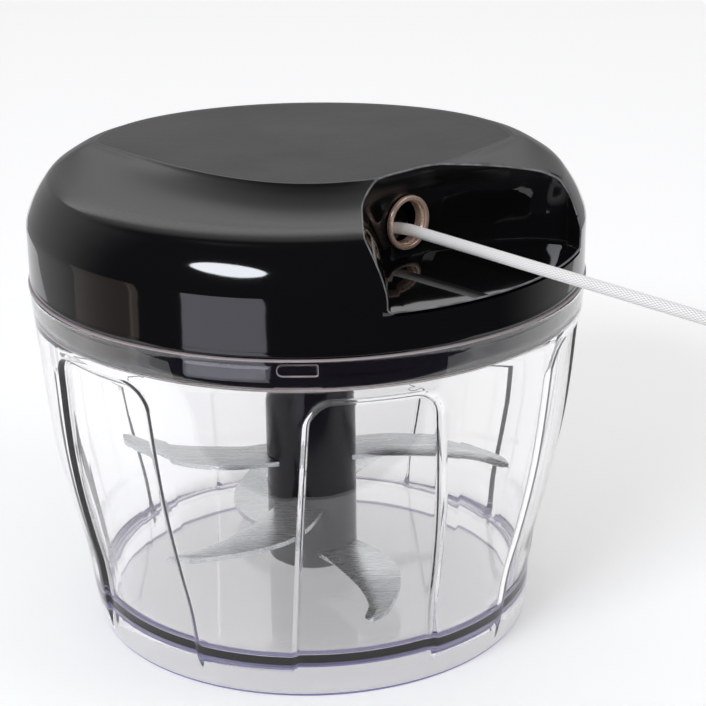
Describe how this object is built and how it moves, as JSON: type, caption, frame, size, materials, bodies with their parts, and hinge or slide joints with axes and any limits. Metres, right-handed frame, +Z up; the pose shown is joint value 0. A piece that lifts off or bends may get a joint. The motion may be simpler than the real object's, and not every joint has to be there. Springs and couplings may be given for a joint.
{
  "type": "pull-cord food chopper",
  "caption": "Hand food chopper: a clear bowl with blades on a stem, under a domed twist-on lid whose pull handle and cord spin the blades.",
  "frame": {"origin": "on the bowl's axis, at the level of the surface that the foot stands on", "axes": "+Z up along the axis of the bowl, stem and reel; -Y towards the front, where the handle's recess lies to the front right; +X right"},
  "size_m": [0.1927, 0.2049, 0.117],
  "materials": {
    "clear_plastic": "clear, polished",
    "gloss_black_plastic": "high gloss",
    "satin_black_plastic": "satin",
    "brushed_steel": "brushed",
    "warm_nickel_plate": "plated, polished",
    "clear_silicone": "translucent, satin",
    "white_braided_cord": "braided",
    "natural_acetal": "natural, satin"
  },
  "bodies": {
    "bowl": {"bowl": "clear_plastic", "bowl_pivot_pin": "brushed_steel"},
    "blades": {"blade_stem": "satin_black_plastic", "lower_blade": "brushed_steel", "middle_blade": "brushed_steel", "upper_blade": "brushed_steel"},
    "seal": {"sealing_ring": "clear_silicone"},
    "lid": {"lid_shell": "gloss_black_plastic", "lid_base": "gloss_black_plastic", "lid_screw_1": "brushed_steel", "lid_screw_2": "brushed_steel", "lid_screw_3": "brushed_steel", "cord_eyelet": "warm_nickel_plate", "reel_axle": "brushed_steel", "spring_arbor": "natural_acetal", "recoil_spring": "brushed_steel", "cord_inner_run": "white_braided_cord", "pull_cord": "white_braided_cord"},
    "reel": {"cord_reel": "natural_acetal", "cord_winding": "white_braided_cord", "spring_cover": "natural_acetal", "drive_socket": "satin_black_plastic"},
    "handle": {"handle_body": "satin_black_plastic", "handle_cover": "satin_black_plastic", "handle_screw_1": "brushed_steel", "handle_screw_2": "brushed_steel", "cord_knot": "white_braided_cord"}
  },
  "joints": [
    {"name": "lid_lift", "type": "slide", "parent": "bowl", "child": "seal", "axis": [0, 0, 1], "range_m": [0, 0.1]},
    {"name": "lid_twist", "type": "hinge", "parent": "seal", "child": "lid", "pos_m": [0, 0, 0.084], "axis": [0, 0, 1], "range_deg": [-15, 0]},
    {"name": "cord_pull", "type": "slide", "parent": "lid", "child": "handle", "axis": [0.6547, -0.7559, 0], "range_m": [-0.1, 0.2], "stiffness_N_per_m": 12, "springref_m": -0.2, "deforming": ["pull_cord"]},
    {"name": "reel_spin", "type": "hinge", "parent": "lid", "child": "reel", "pos_m": [0, 0, 0.1025], "axis": [0, 0, 1], "range_deg": [-300, 599], "deforming": ["recoil_spring"]},
    {"name": "blade_spin", "type": "hinge", "parent": "bowl", "child": "blades", "pos_m": [0, 0, 0.027], "axis": [0, 0, 1], "range_deg": [-300, 599]}
  ],
  "couplings": [
    {"joint": "reel_spin", "follows": "cord_pull", "rad_per_m": 52.219},
    {"joint": "blade_spin", "follows": "cord_pull", "rad_per_m": 52.219}
  ]
}
